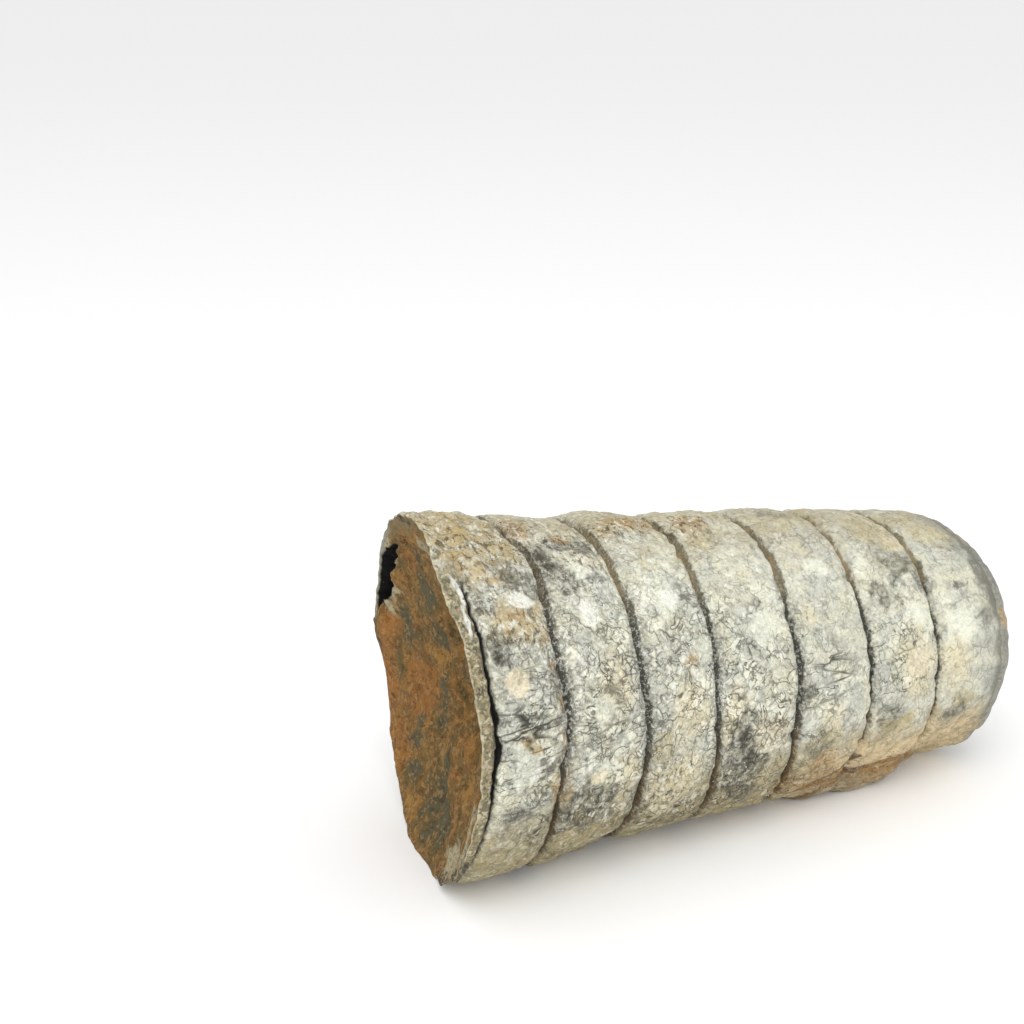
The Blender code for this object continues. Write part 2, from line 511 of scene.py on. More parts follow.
def pocket_share(reach, turn):
    """1 in the pocket and 0 outside it."""
    opened = fade(turn, *map(radians, POCKET_OPENS))
    closed = fade(turn, *map(radians, POCKET_CLOSES))
    middle = 0.900 + opened * 0.023 + closed * 0.030
    half_width = 0.012 + opened * 0.056 - closed * 0.048
    pocket = bend(turn, POCKET_ANGLE, POCKET_HALF_ANGLE)
    return fade(pocket * hill(reach - middle, half_width), 0.05, 0.22)


def hollow_depth(tree, reach, turn, point):
    """How far the hollow lies behind the lip line, without its pocket."""
    swells = sine(turn * 3.0 + reach * 9.0) * reach * (1.0 - reach) * 0.0020
    rough = (noise(tree, point, 0.0060, 2.0) - 0.5) * 0.0034
    rough += (noise(tree, point, 0.0018, 5.0, 0.65) - 0.5) * 0.0018
    calm = (1.0 - reach) * 12.0
    return swells + rough * calm.at_most(1.0)


print("the dome stands", DOME_HEIGHT * 1000, "mm out of the narrow end")

# %% [markdown]
# ## The tree that makes the stone
# The tree has named inputs for the sizes that one might want to change. It places all
# the points in one Set Position node, then stores what the finishes need to know: which
# ring a point is on, how far it is from a groove, and how far round and along it lies.

# %% Helpers for trees
def new_tree(name, inputs):
    """A Geometry Nodes tree with those inputs, and its input node."""
    tree = bpy.data.node_groups.new(name, "GeometryNodeTree")
    for label, kind, value in inputs:
        kind = "NodeSocket" + kind
        socket = tree.interface.new_socket(label, in_out="INPUT", socket_type=kind)
        if value is not None:
            socket.default_value = value
    tree.interface.new_socket("Geometry", in_out="OUTPUT", socket_type="NodeSocketGeometry")
    return tree, tree.nodes.new("NodeGroupInput")


def set_finish(tree, geometry, material, where=True):
    node = add_node(
        tree, "GeometryNodeSetMaterial", Geometry=geometry, Material=material, Selection=where
    )
    return node.outputs["Geometry"]


def give_out(tree, geometry):
    """Ends a tree with real geometry in place of instances."""
    real = add_node(tree, "GeometryNodeRealizeInstances", Geometry=geometry)
    add_node(tree, "NodeGroupOutput", Geometry=real.outputs["Geometry"])


# %% Build the tree
STONE_INPUTS = (
    ("Columns", "Int", COLUMNS), ("Rows", "Int", ROWS), ("Ring Swell", "Float", RING_SWELL),
    ("Groove Depth", "Float", GROOVE_DEPTH), ("Crack Depth", "Float", CRACK_DEPTH),
    ("Hollow Along", "Float", HOLLOW_ALONG), ("Dome Height", "Float", DOME_HEIGHT),
    ("Relief", "Float", 1.0), ("Ring Finish", "Material", None),
    ("Hollow Finish", "Material", None), ("Dome Finish", "Material", None),
)
stone_tree, given = new_tree("ringed stone", STONE_INPUTS)
size = {label: Field(stone_tree, given.outputs[label]) for label, _, _ in STONE_INPUTS}
sphere = add_node(
    stone_tree, "GeometryNodeMeshUVSphere", Segments=size["Columns"], Rings=size["Rows"],
    Radius=1.0,
)
row, turn = row_and_turn(stone_tree, size["Columns"])
station = station_of(row)
lines = all_lines(stone_tree, turn)
steps = [after - before for before, after in zip(lines, lines[1:])]
along = lines[0] + sum_over_rings(station, steps)
distance, nearest = from_nearest_line(station, steps)
base_point = placed(stone_tree, along, plain_radius(along), turn)


def rough(size_of_blobs, *settings, stretch=1.0):
    """Noise that is fixed to the plain cone."""
    point = scaled(stone_tree, base_point, stretch) if stretch != 1.0 else base_point
    return noise(stone_tree, point, size_of_blobs, *settings)


print("the tree knows", len(lines), "lines round the stone")

# %% Build the tree: rings, grooves and crack
share = station - station.calc("FLOOR")
arch = 1.0 - abs(share * 2.0 - 1.0) ** 4.0
swell = arch * size["Ring Swell"] * (1.0 - (station < 1.0) * 0.6)

width_noise = 0.6 + rough(0.0030, 2.0) * 0.8
depth_noise = 0.55 + rough(0.0045, 2.0) * 0.9
depth_noise += fade(sine(turn), 0.70, 0.95) * (nearest < 5.5) * 0.5     # deeper on top
is_groove = (nearest > 1.5) * (nearest < RINGS - 0.5)
is_crack = (nearest > 0.5) * (nearest < 1.5)
groove = groove_shape(
    distance / width_noise, GROOVE_STEEP_WIDTH, GROOVE_FLOOR_WIDTH, GROOVE_GENTLE_WIDTH
)
crack_width = CRACK_WIDTH * (0.2 + rough(0.0014, 3.0, 0.65) * 1.7)
for gape in CRACK_GAPES:
    crack_width += bend(turn, *gape)
crack = groove_shape(distance, CRACK_STEEP_WIDTH, crack_width * 0.5, crack_width)
crack *= bend(turn, *CRACK_SPREAD) ** 0.5
from_foot = abs(turned_from(turn, SHALLOW_ANGLE))
shallow = (nearest > 5.5) * (1.0 - fade(from_foot, *map(radians, SHALLOW_FADE)))
cut = groove * is_groove * size["Groove Depth"] * depth_noise * (1.0 - shallow * 0.75)
cut += crack * is_crack * size["Crack Depth"]
print("with its grooves and its crack the tree has", len(stone_tree.nodes), "nodes")

# %% Build the tree: lumps, flakes, ledge and crest
FLAKE_SIZE = 0.0026
lumps = (rough(0.0090, 2.0) - 0.5) * 0.0013
small = (rough(0.0022, 1.0, 0.65) - 0.5) * 0.00090
flakes = cells(stone_tree, scaled(stone_tree, base_point, 0.45), 1 / FLAKE_SIZE)
flake_rise = add_node(stone_tree, "FunctionNodeSeparateColor", Color=flakes.outputs["Color"])
near_groove = hill(distance, 0.0018) * (is_groove + is_crack * 0.9)
flaky = (0.35 + (1.0 - fade(along, 0.013, 0.030)) * 0.65) * (1.0 - near_groove)
small += (Field(stone_tree, flake_rise.outputs[0]) - 0.5) * flaky * 0.00050
chips = fade(rough(0.0024, 1.0, 0.5), 0.52, 0.72) * near_groove * 0.0006
relief = (lumps + small - chips) * size["Relief"]
layers = rough(0.0016, 4.0, 0.7, stretch=0.35)
rock_patch = patch(along, turn, *CRUST)
ledge = rock_patch + (layers - 0.5) * 0.12 * (rock_patch > 0.0)
edge_of_ledge = fade(ledge, 0.10, 0.22)
rocky = (ledge * 0.70 + edge_of_ledge * 0.30) * (0.75 + layers * 0.6) * CRUST_HEIGHT
cut *= 1.0 - edge_of_ledge * 0.85
side = plain_radius(along) + flare(along) + unevenness(along, turn)
side += patch(along, turn, *CREST) * CREST_HEIGHT
side = side + rocky - patch(along, turn, *WORN) * WORN_DEPTH + swell - cut + relief
print("with its lumps and its ledge the tree has", len(stone_tree.nodes), "nodes")

# %% Build the tree: the ends
hollow_share = (row / float(HOLLOW_ROWS)).between(0.0, 1.0)
hollow_reach = 1.0 - (1.0 - hollow_share) ** 1.35
dome_share = ((row - float(ROWS - DOME_ROWS)) / float(DOME_ROWS)).between(0.0, 1.0)
dome_reach = 1.0 - dome_share ** 1.7
in_hollow = hollow_share < 1.0
in_dome = dome_share > 0.0

end_radius = side * hollow_reach * dome_reach
end_point = placed(stone_tree, along, end_radius, turn)
bowl = (size["Hollow Along"] - lines[0]) * (1.0 - hollow_reach * hollow_reach)
bowl += hollow_depth(stone_tree, hollow_reach, turn, end_point) * in_hollow
pocket = pocket_share(hollow_reach, turn) * in_hollow
bowl += pocket * POCKET_DEPTH
rounding = (1.0 - dome_reach ** 8.0).at_least(0.0).calc("SQRT") * END_ROUNDING
bulge = rounding + size["Dome Height"] * (1.0 - dome_reach * dome_reach)
tube = hill(dome_reach * plain_radius(along), TUBE_RADIUS * 1.6) * TUBE_HEIGHT
dents = (noise(stone_tree, end_point, 0.0050, 4.0, 0.55) - 0.5) * 0.0010
bulge += (tube + dents * (1.0 - dome_reach ** 4.0)) * in_dome
sill = (1.0 - hollow_reach) * SILL_STEEPNESS
place = placed(stone_tree, along + bowl + bulge, end_radius, turn, sill)
geometry = add_node(
    stone_tree, "GeometryNodeSetPosition", Geometry=sphere.outputs["Mesh"], Position=place
).outputs["Geometry"]
print("with its two ends the tree has", len(stone_tree.nodes), "nodes")

# %% Build the tree: store what the finishes read
FAR_AWAY = 0.01               # added where the nearest line is not the kind asked for
WANDER_MM = 12.0
WANDER_DEGREES = 28.0
STORED = {
    "zone": station + hollow_share + dome_share - 1.0,
    "along": along,
    "turn": turn,
    "height": sine(turn),
    "reach": hollow_reach * dome_reach,
    "from_groove": abs(distance) + (1.0 - is_groove) * FAR_AWAY,
    "past_line": distance,
    "open_crack": crack * is_crack,
    "from_crack": abs(distance) + (1.0 - is_crack) * FAR_AWAY,
    "crust": ledge,
    "shallow": shallow.at_least(edge_of_ledge),
    "pocket": pocket,
    "tongue": hill(turned_from(turn, POCKET_ANGLE), 0.60),
    "roof": hill((turn - 1.80).calc("WRAP", pi, -pi), 0.75),
    "wander_along": (rough(0.0050, 4.0, 0.65) - 0.5) * WANDER_MM,
    "wander_turn": (rough(0.0044, 4.0, 0.65) - 0.5) * WANDER_DEGREES,
}
for name, field in STORED.items():
    geometry = add_node(
        stone_tree, "GeometryNodeStoreNamedAttribute",
        {"data_type": "FLOAT", "domain": "POINT"}, Geometry=geometry, Name=name, Value=field,
    ).outputs["Geometry"]
shade_smooth = add_node(stone_tree, "GeometryNodeSetShadeSmooth", Geometry=geometry)
zone = named(stone_tree, "zone")
geometry = shade_smooth.outputs["Geometry"]
for label, where in (("Ring", True), ("Hollow", zone < 0.0), ("Dome", zone > float(RINGS))):
    geometry = set_finish(stone_tree, geometry, given.outputs[label + " Finish"], where)
give_out(stone_tree, geometry)
print("the stone's tree has", len(stone_tree.nodes), "nodes and stores", len(STORED), "numbers")

# %% [markdown]
# ## Colours and finish groups
# A finish is worked out at every point from the same kind of formula as the shape. Its
# patterns read Object coordinates, which are real metres here, so a crack that should
# be a fifth of a millimetre wide is made that wide. Five effects are used in more than
# one place, and each is built once as a node group: clouds, hair cracks, curly lines,
# ragged stains and crystal grain.

# %% Colours, and new groups
def srgb(red, green, blue):
    """A colour as screens give it, 0 to 255, turned into the light values of nodes."""
    shares = [value / 255 for value in (red, green, blue)]
    light = [v / 12.92 if v <= 0.04045 else ((v + 0.055) / 1.055) ** 2.4 for v in shares]
    return (*light, 1.0)


print("a screen's middle grey, 128, is", round(srgb(128, 128, 128)[0], 2), "in light")


def mix(tree, share, first, second, blend="MIX"):
    """Mixes two colours. Each is another node's output, or red, green and blue."""
    node = add_node(tree, "ShaderNodeMix", {"data_type": "RGBA", "blend_type": blend})
    plug(tree, share, node.inputs[0])
    for colour, socket in ((first, node.inputs[6]), (second, node.inputs[7])):
        plug(tree, srgb(*colour) if isinstance(colour, tuple) else colour, socket)
    return node.outputs[2]


def new_group(name, **inputs):
    """A shader node group that reads a point, its tree and its inputs as fields."""
    group = bpy.data.node_groups.new(name, "ShaderNodeTree")
    group.interface.new_socket("Point", in_out="INPUT", socket_type="NodeSocketVector")
    for label, value in inputs.items():
        label = label.replace("_", " ")
        socket = group.interface.new_socket(label, in_out="INPUT", socket_type="NodeSocketFloat")
        socket.default_value = value
    given = group.nodes.new("NodeGroupInput").outputs
    return group, *[Field(group, socket) for socket in given if socket.name]


def group_gives(group, **outputs):
    for label in outputs:
        group.interface.new_socket(label, in_out="OUTPUT", socket_type="NodeSocketFloat")
    add_node(group, "NodeGroupOutput", **outputs)
    print("the group", group.name, "has", len(group.nodes), "nodes and gives", *outputs)


# %% Group: clouds
cloud_group, point, size, low, high, swirl = new_group(
    "clouds", Size=0.003, Low=0.4, High=0.6, Swirl=0.6
)
group_gives(cloud_group, Mask=fade(noise(cloud_group, point, size, 4.0, 0.65, swirl), low, high))

# %% [markdown]
# Calcite splits into little plates. A Voronoi texture set to "distance to edge" gives
# the lines between its cells. Real cracks bend, fade out and come back, so the point
# is pushed about by noise before the texture reads it, and the lines are faded by
# noise as well. The group also gives each plate a number of its own, for its tint and
# height.

# %% Group: hair cracks
crack_group, point, size, width, push, gaps = new_group(
    "hair cracks", Plate_Size=0.0018, Line_Width=0.00012, Bend=0.0012, Gaps=0.5
)
bends = noise_node(crack_group, point, 0.9 / size, 2.0, 0.7).outputs["Color"]
bends = vector_math(crack_group, "SUBTRACT", bends, (0.5, 0.5, 0.5))
bends = vector_math(crack_group, "SCALE", bends, push * 2.0)
bent = vector_math(crack_group, "ADD", point, bends)
edges = cells(crack_group, bent, 1.0 / size, "DISTANCE_TO_EDGE")
plates = cells(crack_group, bent, 1.0 / size)
edge_distance = Field(crack_group, edges.outputs["Distance"]) * size
line = 1.0 - fade(edge_distance, 0.0, width)
line *= fade(noise(crack_group, point, size * 1.4, 2.0), gaps - 0.10, gaps + 0.10)
tint = add_node(crack_group, "ShaderNodeSeparateColor", Color=plates.outputs["Color"])
rise = fade(edge_distance, 0.0, width * 3.0)
group_gives(crack_group, Line=line, Plate=tint.outputs[0], Rise=rise)

# %% [markdown]
# Finer cracks curl. Where cloudy noise passes through its middle value it draws closed
# curls, like the height lines on a map, and only a thin band about that value is kept.

# %% Group: curly lines
curl_group, point, size, width, level, gaps = new_group(
    "curly lines", Size=0.0030, Width=0.014, Level=0.5, Gaps=0.5
)
from_level = abs(noise(curl_group, point, size, 3.0, 0.50, 0.6) - level)
curl = 1.0 - fade(from_level, width * 0.25, width)
curl *= fade(noise(curl_group, point, size * 0.8, 2.0), gaps - 0.07, gaps + 0.07)
group_gives(curl_group, Line=curl)

# %% [markdown]
# A stain seeps unevenly, so its soft painted spot is torn by noise until the edge is
# ragged. Crystal grain is a Voronoi texture again, read at a shaken point so that no
# grain is a neat cell. Each grain has a number to pick it by, and a height.

# %% Group: ragged stain
stain_group, point, stain, size, raggedness, softness = new_group(
    "ragged stain", Stain=0.0, Size=0.0015, Raggedness=0.8, Softness=0.15
)
tatters = (noise(stain_group, point, size, 4.0, 0.65) - 0.5) * raggedness
mask = fade(stain + tatters, 0.5 - softness, 0.5 + softness)
group_gives(stain_group, Mask=mask * fade(stain, 0.02, 0.22))

# %% Group: crystal grain
grain_group, point, size = new_group("crystal grain", Size=0.0004)
shaken = noise_node(grain_group, point, 0.7 / size, 2.0, 0.6).outputs["Color"]
shift = vector_math(grain_group, "SCALE", shaken, size * 2.2)
grains = cells(grain_group, vector_math(grain_group, "ADD", point, shift), 1.0 / size)
random_pair = add_node(grain_group, "ShaderNodeSeparateColor", Color=grains.outputs["Color"])
grain_height = Field(grain_group, random_pair.outputs[1])
grain_height -= Field(grain_group, grains.outputs["Distance"])
group_gives(grain_group, Pick=random_pair.outputs[0], Height=grain_height)

# %% [markdown]
# ## Coat by coat
# A finish is built as a painter would build it: one ground colour, then coat after
# coat, each with its colour and its share at every point. The class below holds the
# material and its colour so far, so that a finish can be read as a list of coats.

# %% A finish
STONE_SHINE = 0.2             # dull stone mirrors less of the sky than polished stone
MM = 1000.0                   # millimetres in a metre


class Finish:
    """A material whose colour is laid on in coats."""

    def __init__(self, name):
        self.material = bpy.data.materials.new(name)
        self.material.use_nodes = True
        self.tree = self.material.node_tree
        self.surface = self.tree.nodes["Principled BSDF"]
        self.surface.inputs["Specular IOR Level"].default_value = STONE_SHINE
        self.where = self.tree.nodes.new("ShaderNodeTexCoord").outputs["Object"]
        self.coats = 1

    def read(self, *names):
        fields = [named(self.tree, name) for name in names]
        return fields if len(names) > 1 else fields[0]

    def stretched(self, x, y=1.0, z=1.0):
        return scaled(self.tree, self.where, x, y, z)

    def noise(self, size, *settings, point=None):
        return noise(self.tree, self.where if point is None else point, size, *settings)

    def use(self, group, point=None, **values):
        """Places a group, and gives its outputs by name."""
        point = self.where if point is None else point
        node = add_node(self.tree, "ShaderNodeGroup", {"node_tree": group}, Point=point, **values)
        return {socket.name: Field(self.tree, socket) for socket in node.outputs}

    def clouds(self, size, low, high, swirl=0.6):
        return self.use(cloud_group, Size=size, Low=low, High=high, Swirl=swirl)["Mask"]

    def stain(self, name, size, torn=1.5, soft=0.28):
        """The share of one painted stain, with its edge torn."""
        return self.use(
            stain_group, Stain=named(self.tree, name), Size=size, Raggedness=torn, Softness=soft
        )["Mask"]

    def mix(self, *share_and_colours):
        return mix(self.tree, *share_and_colours)

    def ground(self, share, first, second):
        self.colour = self.mix(share, first, second)

    def lay(self, *coats):
        """Lays coats over the colour in turn. A coat is its share and its colour."""
        for share, colour in coats:
            self.colour = self.mix(share, self.colour, colour)
        self.coats += len(coats)
        print(self.material.name, "has", self.coats, "coats")

    def dimmed(self, light):
        """The colour so far, multiplied by light."""
        return self.mix(1.0, self.colour, vector(self.tree, light, light, light), "MULTIPLY")

    def end(self, roughness, relief_mm=None):
        """Gives the surface its colour, roughness and small slopes."""
        plug(self.tree, self.colour, self.surface.inputs["Base Color"])
        plug(self.tree, roughness, self.surface.inputs["Roughness"])
        if relief_mm is not None:
            bump = add_node(self.tree, "ShaderNodeBump", Height=relief_mm, Distance=1 / MM)
            plug(self.tree, bump.outputs["Normal"], self.surface.inputs["Normal"])
        print("finish", self.material.name, "has", len(self.tree.nodes), "nodes")


def picked(pick, low, high):
    """1 on the grains whose number lies between low and high, and 0 on the others."""
    return (pick > low) * (pick < high)


# %% [markdown]
# ## The skin of the rings
# The rings are cream calcite mottled with grey, split by hair cracks, and stained tan
# along the top and brown underneath, where iron seeped in from the old rock. The brown
# underneath is also painted shade, on the side turned away from the light. The finish is
# built from the palest coat to the darkest: clouds, painted stains, cracks, grain, and
# last the dirt in the grooves.

# %% Ring finish: base colours
skin = Finish("mottled calcite")
height, along, turn, zone = skin.read("height", "along", "turn", "zone")
cracked, gritty, tanned, pitted = skin.read("cracked", "gritty", "tanned", "pitted")
bleached, chalky, buttery = skin.read("bleached", "chalky", "buttery")
far_along = fade(along, 0.050, 0.068)
tone = skin.clouds(0.0055, 0.38, 0.62)
pale = skin.clouds(0.0034, 0.51, 0.64)
grey = skin.clouds(0.0026, 0.53, 0.66, 1.2)
smoke = skin.noise(0.0013, 5.0, 0.75)
plain = 1.0 - fade(bleached.at_least(chalky).at_least(buttery), 0.25, 0.60) * 0.8
smoke_share = fade(smoke, 0.52, 0.66) * (0.15 + gritty * 0.33) * plain
skin.ground(tone, (215, 212, 187), (197, 197, 184))
skin.lay(
    (pale * (0.70 - far_along * 0.25), (236, 237, 221)),
    (grey * 0.5, (150, 149, 136)),
    (smoke_share, (108, 107, 96)),
    ((1.0 - fade(smoke, 0.30, 0.46)) * gritty * 0.6, (244, 244, 232)),
)

# %% Ring finish: tan top and brown underside
wave = (skin.noise(0.0045, 4.0, 0.65) - 0.5) * 0.5
top = fade(height + wave, 0.82, 1.10) * 0.8
# The brown underneath is partly iron stain and partly painted shade on the underside.
underside_stain_and_shade = 1.0 - fade(height + wave * 1.2, -0.55, -0.12)
mottle = skin.noise(0.0024, 5.0, 0.7)
near_brown = skin.mix(fade(mottle, 0.36, 0.60), (130, 119, 87), (172, 157, 115))
far_brown = skin.mix(fade(mottle, 0.38, 0.60), (178, 162, 126), (220, 198, 158))
skin.lay(
    (top, (178, 164, 126)), (underside_stain_and_shade * 0.9, near_brown), (underside_stain_and_shade * far_along * 0.85, far_brown)
)

# %% Ring finish: the ledge of old rock
rock, seam = skin.read("crust", "seam")
strata = skin.noise(0.0012, 4.0, 0.7, point=skin.stretched(0.22))
rock_colour = skin.mix(fade(strata, 0.40, 0.60), (176, 162, 132), (138, 122, 90))
skin.lay(
    (fade(rock, 0.10, 0.16) * 0.9, rock_colour),
    (hill(rock - 0.15 + (strata - 0.5) * 0.16, 0.10) * 0.8, (118, 90, 48)),
    (fade(seam + (strata - 0.5) * 1.0, 0.22, 0.50) * 0.9, (98, 72, 38)),
)

# %% Ring finish: painted stains
TORN, PLATE_TORN = 1.5, 0.9           # how far the edges of stains and plates are torn
SMOOTH, SOFT, CRISP = 0.45, 0.28, 0.14
smoky = 0.50 + fade(smoke, 0.40, 0.60) * 0.55
smoky *= 1.0 - fade(height, 0.78, 0.95) * far_along * 0.6
flecked = 0.35 + fade(skin.noise(0.0007, 3.0, 0.6), 0.42, 0.56) * 0.65
skin.lay(
    (skin.stain("bleached", 0.0016, TORN, SMOOTH) * 0.80, (234, 235, 216)),
    (skin.stain("creamy", 0.0018, TORN, SMOOTH) * 0.60, (222, 209, 172)),
    (skin.stain("greyed", 0.0015, TORN, SOFT) * (smoky * 0.85), (98, 97, 84)),
    (skin.stain("tanned", 0.0015, TORN, SOFT) * (flecked * 0.60), (178, 163, 118)),
    (skin.stain("rusty", 0.0013, TORN, SOFT) * (flecked * 0.75), (166, 132, 82)),
    (skin.stain("chalky", 0.0016, PLATE_TORN, CRISP) * 0.9, (238, 238, 226)),
    (skin.stain("buttery", 0.0016, PLATE_TORN, CRISP) * 0.9, (228, 216, 186)),
)

# %% Ring finish: cracks
lengthwise = skin.stretched(0.30)
fine = skin.use(crack_group, Plate_Size=0.0016, Line_Width=0.00015, Bend=0.0013, Gaps=0.50)
wide = skin.use(crack_group, Plate_Size=0.0036, Line_Width=0.00024, Bend=0.0026, Gaps=0.50)
splits = skin.use(
    crack_group, lengthwise, Plate_Size=0.0021, Line_Width=0.00030, Bend=0.0010, Gaps=0.42
)
split_share = skin.read("split")
curls = skin.use(curl_group, Size=0.0042, Width=0.012, Gaps=0.47)["Line"]
tight = skin.use(curl_group, Size=0.0019, Width=0.014, Level=0.53, Gaps=0.50)["Line"]
drawn = skin.use(curl_group, lengthwise, Size=0.0021, Width=0.020, Gaps=0.44)["Line"]
curly = curls.at_least(tight * 0.8) * (0.42 + cracked * 0.43)
lines = (fine["Line"] * cracked * 0.8).at_least(wide["Line"] * (0.40 + cracked * 0.4))
lines = lines.at_least(splits["Line"] * split_share).at_least(drawn * split_share)
skin.lay((cracked, skin.dimmed(0.86 + fine["Plate"] * 0.20)))
white_plates = (fine["Plate"] > 0.70) * fine["Rise"] * (0.25 + cracked * 0.35) * gritty
skin.lay((white_plates, (242, 240, 222)), (lines.at_least(curly) * plain, (48, 46, 38)))

# %% Ring finish: grain
small_grain = skin.use(grain_group, Size=0.00042)
large_grain = skin.use(grain_group, Size=0.00085)
pick = small_grain["Pick"]
crosswise = skin.stretched(1.0, 0.5, 0.5)
flecks = skin.noise(0.0009, 5.0, 0.72, 0.4, point=crosswise)
pits = fade(skin.noise(0.0008, 5.0, 0.72, 0.4, point=crosswise), 0.54, 0.62) * pitted * plain
golden = tanned * (1.0 - fade(along, 0.016, 0.034)) * fade(flecks, 0.46, 0.53) * plain
skin.lay(
    (picked(pick, 0.00, 0.12) * (gritty * 0.30), (84, 82, 74)),
    (picked(pick, 0.90, 1.00) * (gritty * 0.35), (240, 240, 232)),
    (golden * 0.64, (186, 157, 102)),
    (pits * 0.75, (74, 70, 58)),
    # White flecks in the pitted patches: pale calcite, partly painted glints.
    ((1.0 - fade(flecks, 0.35, 0.44)) * pitted * 0.8, (240, 238, 222)),
)

# %% Ring finish: the lip band
BAND_COATS = (
    (picked(pick, 0.0, 0.20) * 0.6, (92, 84, 62)),
    (picked(pick, 0.75, 1.0) * 0.6, (206, 198, 170)),
    (picked(pick, 0.4, 0.5) * 0.35, (166, 130, 82)),
    (fade(skin.noise(0.0010, 4.0, 0.65), 0.56, 0.64) * 0.7, (74, 70, 54)),
)
band_colour = skin.mix(skin.clouds(0.0016, 0.42, 0.60), (158, 146, 110), (112, 104, 78))
for share, coat_colour in BAND_COATS:
    band_colour = skin.mix(share, band_colour, coat_colour)
band = (1.0 - fade(zone + wave * 0.3, 0.85, 1.0)) * (1.0 - fade(turn, 0.98, 1.20))
skin.lay(
    (band * 0.9, band_colour),
    ((1.0 - fade(zone + wave * 0.15, 0.04, 0.12)) * 0.5, (196, 188, 158)),
    (skin.stain("sliver", 0.0008, 0.6) * 0.95, (224, 224, 214)),
)

# %% Ring finish: the edge of the narrow end
end_wave = (skin.noise(0.0034, 5.0, 0.7) - 0.5) * 1.6
end_edge = fade(zone + end_wave, 7.50, 8.05) * fade(height, -0.75, -0.15)
last_edge = fade(zone + end_wave * 0.12, 7.86, 7.98) * fade(height, -0.85, -0.35)
skin.lay((end_edge * 0.62, (134, 133, 123)), (last_edge * 0.7, (112, 110, 99)))

# %% [markdown]
# Dirt has settled in each groove, on the gentle side of its line. It is black with
# grey gravel where the side faces out, brown underneath, and golden along the top.
# Its edge is ragged, so the distance to the line is mixed with noise before it is faded.

# %% Ring finish: where the dirt lies
topmost = fade(height + wave * 0.6, 0.58, 0.82)
sooty = fade(height + wave * 0.8, -0.35, 0.05)
uneven_mm = (skin.noise(0.0070, 2.0) - 0.5) * 0.7
dirt_reach_mm = 0.54 - far_along * 0.12 - topmost * 0.12 + uneven_mm
dirt_shift_mm = 0.18 + topmost * (0.26 - far_along * 0.06)
from_dirt = abs(skin.read("past_line") * MM - dirt_shift_mm)
from_dirt = from_dirt.at_least(skin.read("from_groove") * MM - dirt_shift_mm)
ragged = (skin.noise(0.0010, 4.0, 0.60) - 0.5) * 1.3
bare = 1.0 - skin.read("shallow") * 0.75
groove_dirt = (1.0 - fade(from_dirt + ragged * 0.6 - dirt_reach_mm, -0.15, 0.15)) * bare
gravel = fade(skin.noise(0.0005, 3.0, 0.70), 0.50, 0.62)
gravel_share = gravel * (0.50 - topmost * 0.35 - (1.0 - sooty) * 0.35)
core = 1.0 - fade(from_dirt + ragged * 0.4, 0.14, 0.36)
edge_grit = gritty * bare * (1.0 - far_along * 0.6) * (1.0 - topmost * 0.6)
edge_grit = (1.0 - fade(from_dirt + ragged * 1.4 - dirt_reach_mm, 0.3, 1.1)) * edge_grit
print("with its dirt placed the finish has", len(skin.tree.nodes), "nodes")

# %% Ring finish: the grooves and the crack
golden_share = 1.0 - fade(from_dirt + ragged * 0.5, 0.12, 0.40)
golden_share *= 0.4 + fade(skin.noise(0.0030, 3.0, 0.6), 0.40, 0.54) * 0.6
first_groove = 1.0 - fade(along, 0.020, 0.024)
top_dirt = skin.mix(golden_share, (96, 90, 65), (160, 131, 84))
top_dirt = skin.mix(first_groove * 0.8, top_dirt, (70, 57, 34))
dirt = skin.mix(sooty, (106, 82, 49), (58, 58, 50))
dirt = skin.mix(topmost, dirt, top_dirt)
dirt = skin.mix(gravel_share, dirt, (132, 131, 118))
dirt = skin.mix(core * (0.88 - topmost * 0.78), dirt, (34, 34, 28))
by_crack = 1.0 - fade(skin.read("from_crack") * MM + ragged * 0.9, 0.20, 0.50)
cracked_here = 1.0 - fade(abs(turn - 0.12), 0.80, 0.95)
crack_dirt = skin.mix(gravel * 0.6, (58, 56, 48), (150, 147, 134))
skin.lay(
    (groove_dirt * (0.94 - topmost * 0.12), dirt),
    (edge_grit * (1.0 - gravel) * 0.5, (96, 94, 84)),
    (edge_grit * gravel * 0.5 * fade(height, -0.2, 0.1), (236, 237, 230)),
    (by_crack * cracked_here * 0.85, crack_dirt),
    (fade(skin.read("open_crack") + ragged * 0.3, 0.08, 0.40), (38, 37, 34)),
    # Dark patches, and painted shade where the lower ends of the grooves run down near the floor.
    (skin.stain("blackened_and_shaded", 0.0009) * (smoky * 0.9), (66, 64, 55)),
)

# %% Ring finish: speckle, roughness and small relief
speck = 1.0 + (skin.noise(0.00045, 3.0, 0.75) - 0.5) * (0.25 + gritty * 0.65)
speck *= 1.0 - fade(height, 0.70, 0.92) * hill(along - 0.066, 0.022) * 0.06
skin.colour = skin.dimmed(speck)
relief_mm = small_grain["Height"] * 0.05 * gritty + large_grain["Height"] * 0.07 * gritty
relief_mm += (fine["Rise"] * 0.10 + fine["Plate"] * 0.07) * cracked + wide["Rise"] * 0.06
relief_mm += skin.noise(0.0011, 3.0, 0.65) * 0.30
open_lines_mm = splits["Rise"] * split_share * 0.14 - pits * 0.15 - curly * 0.06
relief_mm += open_lines_mm - drawn * split_share * 0.10
skin.end(0.60 + groove_dirt * 0.22 + pick * 0.12 - pale * 0.08, relief_mm)

# %% [markdown]
# ## The rusty break
# The hollow is where the stone broke across a chamber. Iron has coated it in orange and
# brown, in soft grains, with grey-green rock showing through and a paler rim.

